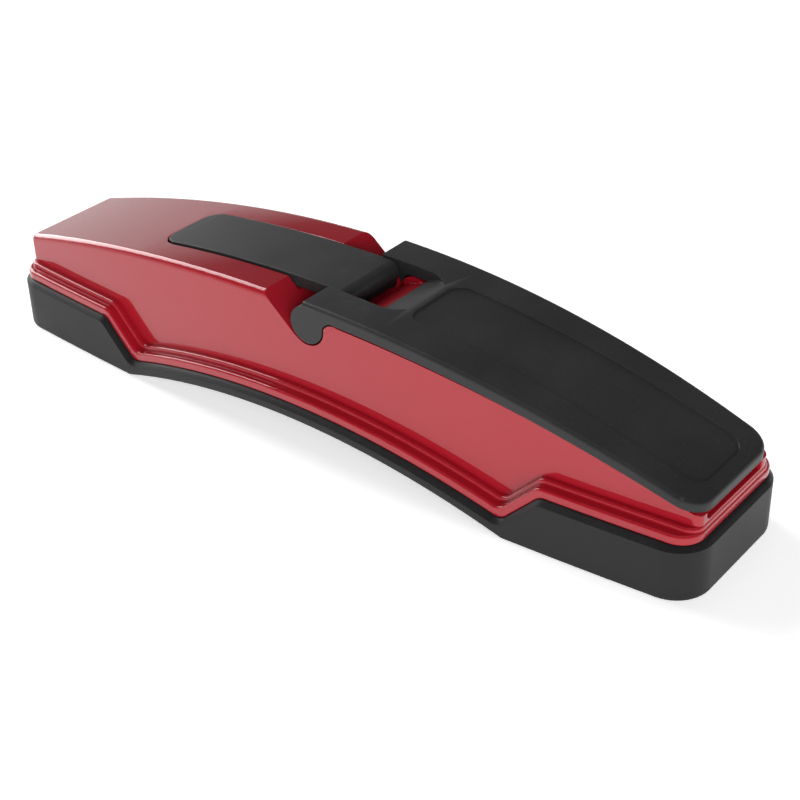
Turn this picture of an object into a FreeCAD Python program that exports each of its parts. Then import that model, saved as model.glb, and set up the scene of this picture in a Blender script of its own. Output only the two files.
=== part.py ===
"""Edge tuning tool: a red shell in a rubber boot, with a long lever and a short arm on one hinge pin.

The long lever carries a file below it and the short arm carries a deburring stone. Both fold down
into the shell. X runs along the tool with the lever at +X, Y across it and Z up. The origin is on
the floor, halfway along the boot. All sizes are in millimetres.
"""
import FreeCAD, Part
import math
import os

VECTOR = FreeCAD.Vector
DOWN_TO_Y = FreeCAD.Rotation(VECTOR(1, 0, 0), -90)

SIZES = {
    # rubber boot
    "boot_length": 165.0,
    "boot_mid_width": 39.4,
    "boot_end_width": 31.8,
    "boot_corner": 7.0,
    "boot_shoulder": 0.9,
    "arch_rise": 7.45,
    "arch_radius": 148.0,
    # line on which the shell sits on the boot
    "rim_foot_height": 10.9,
    "rim_mid_height": 10.05,
    "rim_radius": 155.0,
    "rim_step_start": 53.2,
    "rim_blend": 2.5,
    # red shell
    "end_ledge": 1.7,
    "side_ledge": 4.17,
    "shell_length": "=boot_length - 2 * end_ledge",
    "shell_mid_width": "=boot_mid_width - 2 * side_ledge",
    "shell_end_width": "=boot_end_width - 2 * side_ledge",
    "shell_corner": 1.6,
    "shell_wall": 2.4,
    "deck_height": 30.1,
    "deck_end_drop": 10.97,
    "deck_radius": "=((shell_length / 2) ^ 2 + deck_end_drop ^ 2) / (2 * deck_end_drop)",
    "deck_round": 1.5,
    "flange_side_reach": 3.1,
    "flange_end_reach": 0.5,
    "flange_height": 2.9,
    "flange_round": 0.55,
    "notch_start": 9.8,
    "notch_slope": 41.4,
    "saddle_crest": 10.5,
    "saddle_slope": 17.5,
    "end_groove_width": 18.6,
    "end_groove_height": 2.0,
    "end_groove_middle": 14.8,
    "end_groove_depth": 0.9,
    # hinge
    "hinge_along": 0.8,
    "hinge_drop": 3.9,
    "hinge_height": "=deck_height - hinge_drop",
    "hinge_gap": 0.35,
    "pin_diameter": 2.0,
    "pin_inset": 1.93,
    "pin_length": "=shell_mid_width - 2 * pin_inset",
    "running_gap": 0.05,
    "cheek_radius": 2.85,
    "cheek_width": 2.2,
    "washer_thickness": 0.4,
    "washer_gap": 0.1,
    "bush_wall": 0.45,
    # long lever
    "lever_end_reach": 0.2,
    "lever_end_flare": 0.97,
    "lever_end": "=shell_length / 2 + lever_end_reach",
    "lever_end_width": "=shell_end_width + 2 * lever_end_flare",
    "lever_proud": 0.6,
    "lever_thickness": 2.45,
    "lever_top_drop": 13.26,
    "lever_under_drop": 12.58,
    "lever_top_height": "=deck_height + lever_proud",
    "lever_top_radius": "=(lever_end ^ 2 + lever_top_drop ^ 2) / (2 * lever_top_drop)",
    "lever_under_height": "=lever_top_height - lever_thickness",
    "lever_under_radius": "=(lever_end ^ 2 + lever_under_drop ^ 2) / (2 * lever_under_drop)",
    "lever_corner": 5.0,
    "lever_round": 0.8,
    "lobe_radius": 3.75,
    "lever_overhang": 0.8,
    "neck_radius": 3.0,
    "slot_width": 15.8,
    "slot_floor_start": 10.9,
    "slot_end": 17.3,
    "slot_corner": 5.5,
    "panel_start": 17.9,
    "panel_margin": 2.8,
    "panel_end": "=lever_end - panel_margin",
    "panel_width": 15.6,
    "panel_depth": 0.3,
    "panel_corner": 3.2,
    # short arm
    "arm_length": 44.9,
    "arm_thickness": 2.3,
    "arm_side_gap": 0.35,
    "arm_proud": 0.3,
    "arm_corner": 3.5,
    "knuckle_radius": 2.35,
    "nose_radius": 2.2,
    "nose_offset": 1.4,
    # file below the lever
    "file_start": 17.0,
    "file_length": 44.0,
    "file_width": 19.0,
    "file_thickness": 2.0,
    "holder_thickness": 1.6,
    "pad_thickness": 0.5,
    "bay_gap": 0.8,
    # stone below the arm
    "stone_start": 13.0,
    "stone_length": 27.0,
    "stone_width": 8.6,
    "stone_thickness": 2.6,
    "channel_gap": 0.7,
    # frame and fasteners
    "frame_thickness": 2.0,
    "frame_gap": 0.2,
    "screw_margin": 12.8,
    "screw_along": "=shell_length / 2 - screw_margin",
    "screw_across": 7.3,
    "screw_diameter": 3.0,
    "screw_length": 5.8,
    "screw_head_diameter": 5.6,
    "screw_head_height": 2.0,
    "insert_diameter": 4.4,
    "insert_length": 3.4,
    "small_screw_diameter": 1.6,
    "small_screw_head": 2.8,
    "small_screw_bite": 1.4,
    # catch that holds the lever shut
    "catch_margin": 9.0,
    "catch_along": "=lever_end - catch_margin",
    "catch_width": 8.0,
    "tongue_thickness": 1.6,
    "tongue_depth": 3.6,
    "catch_sheet": 0.5,
    "rest_gap": 0.3,
}

# Faces of cutting blocks that lie clear of the whole tool
WIDE = 40.0
LOW = -5.0
HIGH = 45.0

# Each layer of the flange: its share of the reach, its share of the height, and whether it is rounded
FLANGE_LAYERS = [(1.0, 0.62, True), (0.72, 0.36, False), (0.42, 0.9, True)]

DOC = FreeCAD.newDocument("EdgeTuningTool")
SHEET = DOC.addObject("Spreadsheet::Sheet", "Sizes")


def fill_sheet():
    """Put each driving size, and each size worked out from others, in the sheet under its own alias."""
    for row, alias in enumerate(SIZES, start=1):
        SHEET.set(f"A{row}", alias)
        SHEET.setAlias(f"B{row}", alias)
    for row, value in enumerate(SIZES.values(), start=1):
        SHEET.set(f"B{row}", str(value))
    DOC.recompute()


def size(alias):
    """The sheet's value for one alias, as a plain number."""
    return float(SHEET.get(alias))


# ---------------------------------------------------------------- shape helpers


def plan_prism(half_length, mid_half_width, end_half_width, corner, low, high):
    """A prism whose plan has bowed sides, straight ends and rounded corners."""
    left_front = VECTOR(-half_length, -end_half_width, low)
    right_front = VECTOR(half_length, -end_half_width, low)
    right_back = VECTOR(half_length, end_half_width, low)
    left_back = VECTOR(-half_length, end_half_width, low)
    front = Part.Arc(left_front, VECTOR(0, -mid_half_width, low), right_front)
    back = Part.Arc(right_back, VECTOR(0, mid_half_width, low), left_back)
    edges = [
        front.toShape(),
        Part.LineSegment(right_front, right_back).toShape(),
        back.toShape(),
        Part.LineSegment(left_back, left_front).toShape(),
    ]
    prism = Part.Face(Part.Wire(edges)).extrude(VECTOR(0, 0, high - low))
    upright = [edge for edge in prism.Edges if is_upright(edge)]
    return prism.makeFillet(corner, upright)


def is_upright(edge):
    """True for a straight edge along Z."""
    if edge.Curve.TypeId != "Part::GeomLine":
        return False
    return abs(edge.Curve.Direction.z) > 0.999


def shell_plan(side_offset, end_offset, corner, low=LOW, high=HIGH):
    """The shell's plan moved outward at its sides and ends."""
    return plan_prism(
        size("shell_length") / 2 + end_offset,
        size("shell_mid_width") / 2 + side_offset,
        size("shell_end_width") / 2 + side_offset,
        corner,
        low,
        high,
    )


def boot_plan(inset, low=LOW, high=HIGH):
    """The boot's plan moved inward all round."""
    return plan_prism(
        size("boot_length") / 2 - inset,
        size("boot_mid_width") / 2 - inset,
        size("boot_end_width") / 2 - inset,
        size("boot_corner") - inset,
        low,
        high,
    )


def arc_height(top, radius, along):
    """Height at one X of an arc that peaks at X = 0."""
    return top - radius + math.sqrt(radius * radius - along * along)


def arc_block(top, radius, start, end, low=LOW, half_width=WIDE):
    """A block between two X whose upper face is an arc about Y."""
    middle = (start + end) / 2
    top_start = VECTOR(start, -half_width, arc_height(top, radius, start))
    top_middle = VECTOR(middle, -half_width, arc_height(top, radius, middle))
    top_end = VECTOR(end, -half_width, arc_height(top, radius, end))
    foot_end = VECTOR(end, -half_width, low)
    foot_start = VECTOR(start, -half_width, low)
    edges = [
        Part.Arc(top_start, top_middle, top_end).toShape(),
        Part.LineSegment(top_end, foot_end).toShape(),
        Part.LineSegment(foot_end, foot_start).toShape(),
        Part.LineSegment(foot_start, top_start).toShape(),
    ]
    return Part.Face(Part.Wire(edges)).extrude(VECTOR(0, 2 * half_width, 0))


def hinge_cylinder(radius, start, end):
    """A cylinder about the hinge axis between two Y."""
    base = VECTOR(size("hinge_along"), start, size("hinge_height"))
    return Part.makeCylinder(radius, end - start, base, VECTOR(0, 1, 0))


def rim_block(rise):
    """All that lies below the rim line, moved outward by a rise normal to it."""
    reach = size("boot_length")
    half_width = size("boot_mid_width")
    foot = size("rim_foot_height") + rise
    radius = size("rim_radius") + rise
    middle = size("rim_mid_height") + rise
    slope_start = size("rim_step_start") - rise * (math.sqrt(2) - 1)
    slope_end = slope_arc_crossing(slope_start, foot, middle, radius)
    low = -5.0
    crossing = arc_height(middle, radius, slope_end)
    corners = [
        VECTOR(-reach, -half_width, low),
        VECTOR(-reach, -half_width, foot),
        VECTOR(-slope_start, -half_width, foot),
        VECTOR(-slope_end, -half_width, crossing),
        VECTOR(slope_end, -half_width, crossing),
        VECTOR(slope_start, -half_width, foot),
        VECTOR(reach, -half_width, foot),
        VECTOR(reach, -half_width, low),
    ]
    edges = []
    for index, start in enumerate(corners):
        end = corners[(index + 1) % len(corners)]
        if index == 3:
            edges.append(Part.Arc(start, VECTOR(0, -half_width, middle), end).toShape())
        else:
            edges.append(Part.LineSegment(start, end).toShape())
    block = Part.Face(Part.Wire(edges)).extrude(VECTOR(0, 2 * half_width, 0))
    bends = [edge for edge in block.Edges if is_rim_bend(edge, slope_start, slope_end)]
    return block.makeFillet(size("rim_blend"), bends)


def slope_arc_crossing(slope_start, foot, middle, radius):
    """X at which the 45 degree step meets the rim's arc."""
    low = 0.0
    high = slope_start
    for _ in range(60):
        guess = (low + high) / 2
        step_height = foot - (slope_start - guess)
        if step_height < arc_height(middle, radius, guess):
            low = guess
        else:
            high = guess
    return high


def is_rim_bend(edge, slope_start, slope_end):
    """True for the edges across the block at both ends of each 45 degree step."""
    if edge.Curve.TypeId != "Part::GeomLine" or abs(edge.Curve.Direction.y) < 0.999:
        return False
    along = abs(edge.CenterOfMass.x)
    return min(abs(along - slope_start), abs(along - slope_end)) < 0.01


def box(start, end):
    """A box between two opposite corners."""
    spans = end - start
    return Part.makeBox(spans.x, spans.y, spans.z, start)


def feature(label, shape, along=0.0, across=0.0, height=0.0):
    """One sub-part whose shape is worked out here, then placed."""
    item = DOC.addObject("Part::Feature", label)
    item.Label = label
    item.Shape = shape.removeSplitter()
    item.Placement = FreeCAD.Placement(VECTOR(along, across, height), FreeCAD.Rotation())
    return item


# ---------------------------------------------------------------- rubber boot


def make_boot():
    """Rubber boot: two flat feet, an arch between them and screw wells in the soles."""
    boot = boot_plan(0).common(rim_block(0))
    boot = boot.makeChamfer(size("boot_shoulder"), top_edges(boot))
    boot = boot.cut(arch_cylinder())
    boot = boot.common(box(VECTOR(-100, -30, 0), VECTOR(100, 30, 30)))
    for along, across in screw_places():
        well = Part.makeCylinder(screw_well_radius(), 30, VECTOR(along, across, -5))
        boot = boot.cut(well)
    return feature("rubber_boot", boot)


def arch_cylinder():
    """The hollow under the boot, round about Y."""
    radius = size("arch_radius")
    centre = VECTOR(0, -40, size("arch_rise") - radius)
    return Part.makeCylinder(radius, 80, centre, VECTOR(0, 1, 0))


def screw_places():
    """Centre of each of the four frame screws."""
    along = size("screw_along")
    across = size("screw_across")
    return [(x, y) for x in (-along, along) for y in (-across, across)]


def screw_well_radius():
    """Radius of the well that a screw head passes through."""
    return size("screw_head_diameter") / 2 + size("rest_gap")


# ---------------------------------------------------------------- red shell


def make_shell():
    """Red shell: flanged skirt, deck, hinge seat with two cheeks, file bay and stone channel."""
    shell = shell_outside().fuse(shell_flange())
    shell = shell.cut(arm_recess())
    shell = shell.cut(hinge_room())
    shell = shell.fuse(pin_cheeks())
    shell = shell.cut(stone_channel())
    shell = shell.cut(file_bay())
    shell = shell.cut(catch_slot())
    shell = shell.cut(end_groove())
    shell = shell.cut(shell_hollow())
    shell = shell.cut(frame_seat(size("frame_gap")))
    shell = shell.cut(hinge_cylinder(size("pin_diameter") / 2, -20, 20))
    for along, across in screw_places():
        hole = Part.makeCylinder(
            size("insert_diameter") / 2,
            size("insert_length") + 1.0,
            VECTOR(along, across, frame_top()),
        )
        shell = shell.cut(hole)
    return feature("upper_shell", shell)


def shell_outside():
    """The shell's body: left deck, sloping shoulder, hinge seat and the rim under the lever."""
    deck_top = size("deck_height")
    deck_radius = size("deck_radius")
    half_length = size("shell_length") / 2
    start = -size("notch_start")
    slope = math.radians(size("notch_slope"))
    seat_radius = size("lobe_radius") + size("hinge_gap")
    deck = arc_block(deck_top, deck_radius, -half_length - 5, 0)
    shoulder = box(VECTOR(0, -WIDE, -60), VECTOR(60, WIDE, 60))
    shoulder.rotate(VECTOR(0, 0, 0), VECTOR(0, 1, 0), math.degrees(slope) - 90)
    shoulder.translate(VECTOR(start, 0, arc_height(deck_top, deck_radius, start)))
    deck = deck.cut(shoulder)
    under_lever = arc_block(
        size("lever_under_height") - size("rest_gap"),
        size("lever_under_radius"),
        bump_centre().x,
        half_length + 5,
    )
    saddle = box(VECTOR(0, -WIDE, LOW), VECTOR(bump_centre().x, WIDE, bump_centre().z))
    bump = bump_cylinder(size("neck_radius") - size("rest_gap"), -WIDE, WIDE)
    low_join = box(VECTOR(-8, -WIDE, LOW), VECTOR(bump_centre().x, WIDE, size("hinge_height") - 3))
    profile = deck.fuse([under_lever, saddle, bump, low_join])
    profile = profile.cut(hinge_cylinder(seat_radius, -WIDE, WIDE)).removeSplitter()
    body = shell_plan(0, 0, size("shell_corner")).common(profile)
    rounds = [edge for edge in body.Edges if is_deck_edge(edge)]
    return body.makeFillet(size("deck_round"), rounds).cut(rim_block(0))


def is_deck_edge(edge):
    """True for the long top edges of the left deck and its left end."""
    middle = edge.CenterOfMass
    deck_line = arc_height(size("deck_height"), size("deck_radius"), min(middle.x, 0))
    left_of_notch = middle.x < -size("notch_start") - 5
    near_line = abs(middle.z - deck_line) < 1.5
    return left_of_notch and near_line


def bump_centre():
    """Centre of the rounded bump that the lever's neck wraps."""
    radius = size("neck_radius")
    along = size("hinge_along") + size("lobe_radius") - 0.3 + radius
    return VECTOR(along, 0, size("lever_under_height") - radius)


def bump_cylinder(radius, start, end):
    """A cylinder about the bump's centre."""
    centre = bump_centre()
    return Part.makeCylinder(radius, end - start, VECTOR(centre.x, start, centre.z), VECTOR(0, 1, 0))


def shell_flange():
    """Stepped flange round the shell's foot: a ridge, a groove and a rounded bead."""
    side = size("flange_side_reach")
    end = size("flange_end_reach")
    height = size("flange_height")
    flange = None
    for share, rise_share, rounded in FLANGE_LAYERS:
        plan = shell_plan(side * share, end * share, size("shell_corner") + side * share)
        layer = plan.common(rim_block(height * rise_share)).cut(rim_block(0))
        if rounded:
            layer = layer.makeFillet(size("flange_round"), top_edges(layer))
        flange = layer if flange is None else flange.fuse(layer)
    return flange


def top_edges(solid):
    """The edges where faces that look upward meet upright faces."""
    found = []
    for edge in solid.Edges:
        middle = edge.valueAt((edge.FirstParameter + edge.LastParameter) / 2)
        lifts = [face_lift(face, middle) for face in solid.ancestorsOfType(edge, Part.Face)]
        if len(lifts) == 2 and max(lifts) > 0.3 and min(abs(lift) for lift in lifts) < 0.05:
            found.append(edge)
    return found


def face_lift(face, point):
    """How far a face's outward normal leans upward at a point on it, from -1 to 1."""
    u, v = face.Surface.parameter(point)
    return face.normalAt(u, v).z


def arm_recess():
    """Room in the deck for the arm's strap."""
    depth = size("arm_thickness") - size("arm_proud") + size("rest_gap")
    half_width = size("slot_width") / 2
    above = box(
        VECTOR(-arm_reach() - size("arm_side_gap"), -half_width, 0),
        VECTOR(size("hinge_along"), half_width, 45),
    )
    upright = [edge for edge in above.Edges if is_upright(edge) and edge.CenterOfMass.x < -20]
    above = above.makeFillet(size("arm_corner") + size("arm_side_gap"), upright)
    floor = arc_block(size("deck_height") - depth, size("deck_radius") - depth, -70, 10)
    return above.cut(floor)


def arm_reach():
    """Distance from the origin to the arm's left end."""
    return size("arm_length") - size("hinge_along")


def hinge_room():
    """Room between the cheeks for the arm's knuckle and nose, with a sloping saddle beside it."""
    half_width = size("slot_width") / 2
    trough = hinge_cylinder(nose_reach() + size("hinge_gap"), -half_width, half_width)
    saddle = box(VECTOR(-size("saddle_crest"), -half_width, 0), VECTOR(0, half_width, 12))
    saddle.rotate(VECTOR(0, 0, 0), VECTOR(0, 1, 0), -size("saddle_slope"))
    crest = size("lever_under_height") - size("rest_gap")
    radius = size("lever_under_radius") - size("rest_gap")
    along = size("saddle_crest")
    saddle.translate(VECTOR(along, 0, arc_height(crest, radius, along)))
    return trough.fuse(saddle)


def nose_centre():
    """Centre of the rounded nose at the arm's hinge end."""
    along = size("hinge_along") + size("nose_offset")
    return VECTOR(along, 0, size("deck_height") + size("arm_proud") - size("nose_radius"))


def nose_reach():
    """Largest distance of the arm's nose from the hinge axis."""
    centre = nose_centre()
    rise = centre.z - size("hinge_height")
    return math.hypot(size("nose_offset"), rise) + size("nose_radius")


def cheek_start():
    """Y at which each cheek begins, outside the barrel and a washer."""
    return barrel_half_width() + size("washer_gap") + size("washer_thickness")


def barrel_half_width():
    """Half the width of the arm and of its barrel."""
    return size("slot_width") / 2 - size("arm_side_gap")


def pin_cheeks():
    """Two cheeks that stand between the barrel and the lever's ears and hold the pin."""
    radius = size("cheek_radius")
    start = cheek_start()
    end = start + size("cheek_width")
    cheeks = None
    for low, high in ((start, end), (-end, -start)):
        web = box(
            VECTOR(size("hinge_along") - radius, low, 18),
            VECTOR(size("hinge_along") + radius, high, size("hinge_height")),
        )
        cheek = hinge_cylinder(radius, low, high).fuse(web)
        cheeks = cheek if cheeks is None else cheeks.fuse(cheek)
    return cheeks


def chord(start, length, top, radius):
    """Middle and tilt of the chord under an arc about Y."""
    end = start + length
    start_height = arc_height(top, radius, start)
    end_height = arc_height(top, radius, end)
    tilt = math.degrees(math.atan2(start_height - end_height, length))
    return VECTOR((start + end) / 2, 0, (start_height + end_height) / 2), tilt


def tilted_box(middle, tilt, length, width, high, low, round_radius=0.0):
    """A box hung below a chord, between two depths measured from it."""
    block = box(VECTOR(-length / 2, -width / 2, -low), VECTOR(length / 2, width / 2, -high))
    if round_radius > 0:
        upright = [edge for edge in block.Edges if is_upright(edge)]
        block = block.makeFillet(round_radius, upright)
    block.rotate(VECTOR(0, 0, 0), VECTOR(0, 1, 0), tilt)
    block.translate(middle)
    return block


def file_chord():
    """Middle and tilt of the plane that the file's pad hangs from."""
    return chord(
        size("file_start"),
        size("file_length"),
        size("lever_under_height"),
        size("lever_under_radius"),
    )


def stone_chord():
    """Middle and tilt of the plane that the stone's holder hangs from."""
    under = size("deck_height") + size("arm_proud") - size("arm_thickness")
    radius = size("deck_radius") + size("arm_proud") - size("arm_thickness")
    return chord(-size("stone_start") - size("stone_length"), size("stone_length"), under, radius)


def file_stack():
    """Depth of pad, holder and file below the lever."""
    return size("pad_thickness") + size("holder_thickness") + size("file_thickness")


def stone_stack():
    """Depth of pad, holder and stone below the arm."""
    return size("pad_thickness") + size("holder_thickness") + size("stone_thickness")


def file_bay():
    """Hollow in the shell that takes the file."""
    middle, tilt = file_chord()
    gap = size("bay_gap")
    return tilted_box(
        middle,
        tilt,
        size("file_length") + 4 * gap,
        size("file_width") + 2 * gap,
        -10,
        file_stack() + gap,
        1.0,
    )


def stone_channel():
    """Hollow in the deck that takes the stone, open to the hinge seat."""
    middle, tilt = stone_chord()
    gap = size("channel_gap")
    channel = tilted_box(
        middle,
        tilt,
        size("stone_length") + 4 * gap,
        size("stone_width") + 2 * gap,
        -6,
        stone_stack() + gap,
    )
    mouth = box(
        VECTOR(-size("stone_start") - 3, -size("stone_width") / 2 - gap, middle.z - 3),
        VECTOR(size("hinge_along"), size("stone_width") / 2 + gap, size("deck_height")),
    )
    return channel.fuse(mouth)


def catch_slot():
    """Slot in the shell's right end for the catch and the lever's tongue."""
    along = size("catch_along")
    half_length = size("tongue_thickness") / 2 + catch_side_gap() + size("catch_sheet")
    half_width = size("catch_width") / 2 + 2 * size("rest_gap")
    return box(
        VECTOR(along - half_length, -half_width, catch_floor()),
        VECTOR(along + half_length, half_width, 40),
    )


def end_groove():
    """Fingernail groove in the shell's right end, below the lever."""
    half_length = size("shell_length") / 2
    middle = size("end_groove_middle")
    half_height = size("end_groove_height") / 2
    half_width = size("end_groove_width") / 2
    groove = box(
        VECTOR(half_length - size("end_groove_depth"), -half_width, middle - half_height),
        VECTOR(half_length + 5, half_width, middle + half_height),
    )
    lengthwise = [edge for edge in groove.Edges if abs(edge.tangentAt(edge.FirstParameter).x) > 0.9]
    return groove.makeFillet(half_height * 0.9, lengthwise)


def catch_side_gap():
    """Room on each side of the tongue, which leans as the lever starts to open."""
    return 1.0


def catch_floor():
    """Height of the catch slot's floor."""
    under = arc_height(size("lever_under_height"), size("lever_under_radius"), size("catch_along"))
    return under - size("tongue_depth") - size("catch_sheet") - size("rest_gap")


def shell_hollow():
    """Hollow inside the shell, below the deck and below the bay."""
    wall = size("shell_wall")
    inside = shell_plan(-wall, -wall, 1.0)
    left_depth = size("arm_thickness") + stone_stack() + size("channel_gap") + wall
    left = arc_block(size("deck_height") - left_depth, size("deck_radius") - left_depth, -58, -13)
    right_depth = file_stack() + size("bay_gap") + 1.0 + wall
    right = arc_block(
        size("lever_under_height") - right_depth,
        size("lever_under_radius") - right_depth,
        13,
        60,
    )
    return inside.common(left.fuse(right))


def frame_top():
    """Height of the frame's upper face over the feet."""
    return size("rim_foot_height") + size("frame_thickness")


def frame_seat(gap):
    """The plate-shaped space of the frame, grown by a gap on its sides and top."""
    wall = size("shell_wall")
    plan = shell_plan(gap - wall, gap - wall, 1.0 + gap)
    return plan.common(rim_block(size("frame_thickness") + gap).cut(rim_block(0)))


# ---------------------------------------------------------------- frame and fasteners


def make_frame():
    """Base frame: a bent plate that closes the shell from below."""
    frame = frame_seat(0)
    for along, across in screw_places():
        radius = size("screw_diameter") / 2 + 0.2
        frame = frame.cut(Part.makeCylinder(radius, 40, VECTOR(along, across, -5)))
    return feature("base_frame", frame)


def cylinder_piece(name, radius, height, along, across, low):
    """A Part cylinder along Z, bound to the sheet by expressions."""
    item = DOC.addObject("Part::Cylinder", name)
    item.setExpression("Radius", radius)
    item.setExpression("Height", height)
    item.setExpression("Placement.Base.x", along)
    item.setExpression("Placement.Base.y", across)
    item.setExpression("Placement.Base.z", low)
    return item


def combine(kind, name, pieces):
    """A union or a compound of pieces."""
    item = DOC.addObject(kind, name)
    if kind == "Part::MultiFuse":
        item.Shapes = pieces
    else:
        item.Links = pieces
    return item


def cut(name, base, tool):
    """One piece less another."""
    item = DOC.addObject("Part::Cut", name)
    item.Base = base
    item.Tool = tool
    return item


def make_frame_screws():
    """Four pan-head screws that hold the frame and boot to the shell."""
    screws = []
    head_low = "Sizes.rim_foot_height - Sizes.screw_head_height"
    for index, (x_sign, y_sign) in enumerate(((-1, -1), (-1, 1), (1, -1), (1, 1))):
        along = f"{x_sign} * Sizes.screw_along"
        across = f"{y_sign} * Sizes.screw_across"
        head = cylinder_piece(
            f"ScrewHead{index}",
            "Sizes.screw_head_diameter / 2",
            "Sizes.screw_head_height",
            along,
            across,
            head_low,
        )
        shank = cylinder_piece(
            f"ScrewShank{index}",
            "Sizes.screw_diameter / 2",
            "Sizes.screw_length",
            along,
            across,
            "Sizes.rim_foot_height",
        )
        socket = DOC.addObject("Part::Prism", f"ScrewSocket{index}")
        socket.Polygon = 6
        socket.setExpression("Circumradius", "Sizes.screw_head_diameter / 4")
        socket.setExpression("Height", "Sizes.screw_head_height * 0.6")
        socket.setExpression("Placement.Base.x", along)
        socket.setExpression("Placement.Base.y", across)
        socket.setExpression("Placement.Base.z", head_low)
        whole = combine("Part::MultiFuse", f"ScrewWhole{index}", [head, shank])
        screws.append(cut(f"FrameScrew{index}", whole, socket))
    return labelled(combine("Part::Compound", "FrameScrews", screws), "frame_screws")


def make_inserts():
    """Four threaded inserts in the shell for the frame screws."""
    inserts = []
    for index, (x_sign, y_sign) in enumerate(((-1, -1), (-1, 1), (1, -1), (1, 1))):
        along = f"{x_sign} * Sizes.screw_along"
        across = f"{y_sign} * Sizes.screw_across"
        low = "Sizes.rim_foot_height + Sizes.frame_thickness + Sizes.frame_gap"
        outer = cylinder_piece(
            f"InsertBody{index}", "Sizes.insert_diameter / 2", "Sizes.insert_length", along, across, low
        )
        bore = cylinder_piece(
            f"InsertBore{index}", "Sizes.screw_diameter / 2", "Sizes.insert_length", along, across, low
        )
        inserts.append(cut(f"Insert{index}", outer, bore))
    return labelled(combine("Part::Compound", "Inserts", inserts), "threaded_inserts")


def labelled(item, label):
    """Give the finished sub-part the name of its node."""
    item.Label = label
    return item


def origin_plane(body, role):
    """One origin plane of a body, found by its role."""
    return next(plane for plane in body.Origin.OriginFeatures if plane.Role == role)


def new_body(label):
    """An empty body with the name of its node."""
    body = DOC.addObject("PartDesign::Body", label)
    body.Label = label
    return body


def new_sketch(body, name, role):
    """A sketch on one of the body's own origin planes."""
    sketch = body.newObject("Sketcher::SketchObject", name)
    sketch.AttachmentSupport = [(origin_plane(body, role), "")]
    sketch.MapMode = "FlatFace"
    return sketch


def add_circle(sketch, radius):
    """A circle about the sketch's origin with its radius bound to the sheet."""
    import Sketcher

    index = sketch.addGeometry(Part.Circle(VECTOR(0, 0, 0), VECTOR(0, 0, 1), 1.0), False)
    sketch.addConstraint(Sketcher.Constraint("Coincident", index, 3, -1, 1))
    number = sketch.addConstraint(Sketcher.Constraint("Radius", index, 1.0))
    sketch.setExpression(f"Constraints[{number}]", radius)


def add_pad(body, sketch, name, length, both_ways=False):
    """A pad of a sketch."""
    pad = body.newObject("PartDesign::Pad", name)
    pad.Profile = sketch
    pad.setExpression("Length", length)
    pad.Midplane = both_ways
    sketch.Visibility = False
    return pad


def place_on_hinge(body, across):
    """Put a body on the hinge axis at one Y."""
    body.setExpression("Placement.Base.x", "Sizes.hinge_along")
    body.setExpression("Placement.Base.y", across)
    body.setExpression("Placement.Base.z", "Sizes.hinge_height")


# ---------------------------------------------------------------- hinge pieces


def make_pin():
    """Hinge pin: a plain rod with chamfered ends."""
    body = new_body("hinge_pin")
    sketch = new_sketch(body, "PinCircle", "XZ_Plane")
    add_circle(sketch, "Sizes.pin_diameter / 2")
    rod = add_pad(body, sketch, "PinRod", "Sizes.pin_length", both_ways=True)
    DOC.recompute()
    ends = [f"Edge{i + 1}" for i, edge in enumerate(rod.Shape.Edges) if edge.isClosed()]
    chamfer = body.newObject("PartDesign::Chamfer", "PinChamfer")
    chamfer.Base = (rod, ends)
    chamfer.setExpression("Size", "Sizes.pin_diameter / 10")
    body.Tip = chamfer
    place_on_hinge(body, "0")
    return body


def make_ring(label, outer, inner, length, across):
    """A ring about the hinge axis, centred on one Y."""
    body = new_body(label)
    sketch = new_sketch(body, label + "_rings", "XZ_Plane")
    add_circle(sketch, outer)
    add_circle(sketch, inner)
    add_pad(body, sketch, label + "_pad", length, both_ways=True)
    place_on_hinge(body, across)
    return body


def make_rings(label, outer, inner, length, across):
    """The same ring on both sides of the tool, in one node."""
    rings = []
    for name, sign in (("left", "-1"), ("right", "1")):
        ring = make_ring(f"{label}_{name}", outer, inner, length, f"{sign} * ({across})")
        rings.append(ring)
    return labelled(combine("Part::Compound", label + "_pair", rings), label)


def make_friction_washers():
    """Two thin washers between the arm's barrel and the cheeks."""
    return make_rings(
        "friction_washers",
        "Sizes.cheek_radius - Sizes.rest_gap",
        "Sizes.pin_diameter / 2 + Sizes.running_gap",
        "Sizes.washer_thickness",
        "Sizes.slot_width / 2 - Sizes.arm_side_gap + Sizes.washer_gap + Sizes.washer_thickness / 2",
    )


def ear_start():
    """Y at which the lever's ear begins, outside the cheek."""
    return cheek_start() + size("cheek_width") + size("rest_gap")


def make_lever_bushes():
    """Two bushes in the lever's ears that run on the pin."""
    start = "(Sizes.slot_width / 2 - Sizes.arm_side_gap + Sizes.washer_gap"
    start += " + Sizes.washer_thickness + Sizes.cheek_width + Sizes.rest_gap)"
    length = f"(Sizes.pin_length / 2 - {start})"
    return make_rings(
        "lever_bushes",
        "Sizes.pin_diameter / 2 + Sizes.running_gap + Sizes.bush_wall",
        "Sizes.pin_diameter / 2 + Sizes.running_gap",
        length,
        f"{start} + {length} / 2",
    )


def make_arm_bush():
    """Bush in the arm's barrel that runs on the pin."""
    return make_ring(
        "arm_bush",
        "Sizes.pin_diameter / 2 + Sizes.running_gap + Sizes.bush_wall",
        "Sizes.pin_diameter / 2 + Sizes.running_gap",
        "Sizes.slot_width - 2 * Sizes.arm_side_gap",
        "0",
    )


def bush_radius():
    """Outer radius of every bush."""
    return size("pin_diameter") / 2 + size("running_gap") + size("bush_wall")


# ---------------------------------------------------------------- long lever and its file


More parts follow.
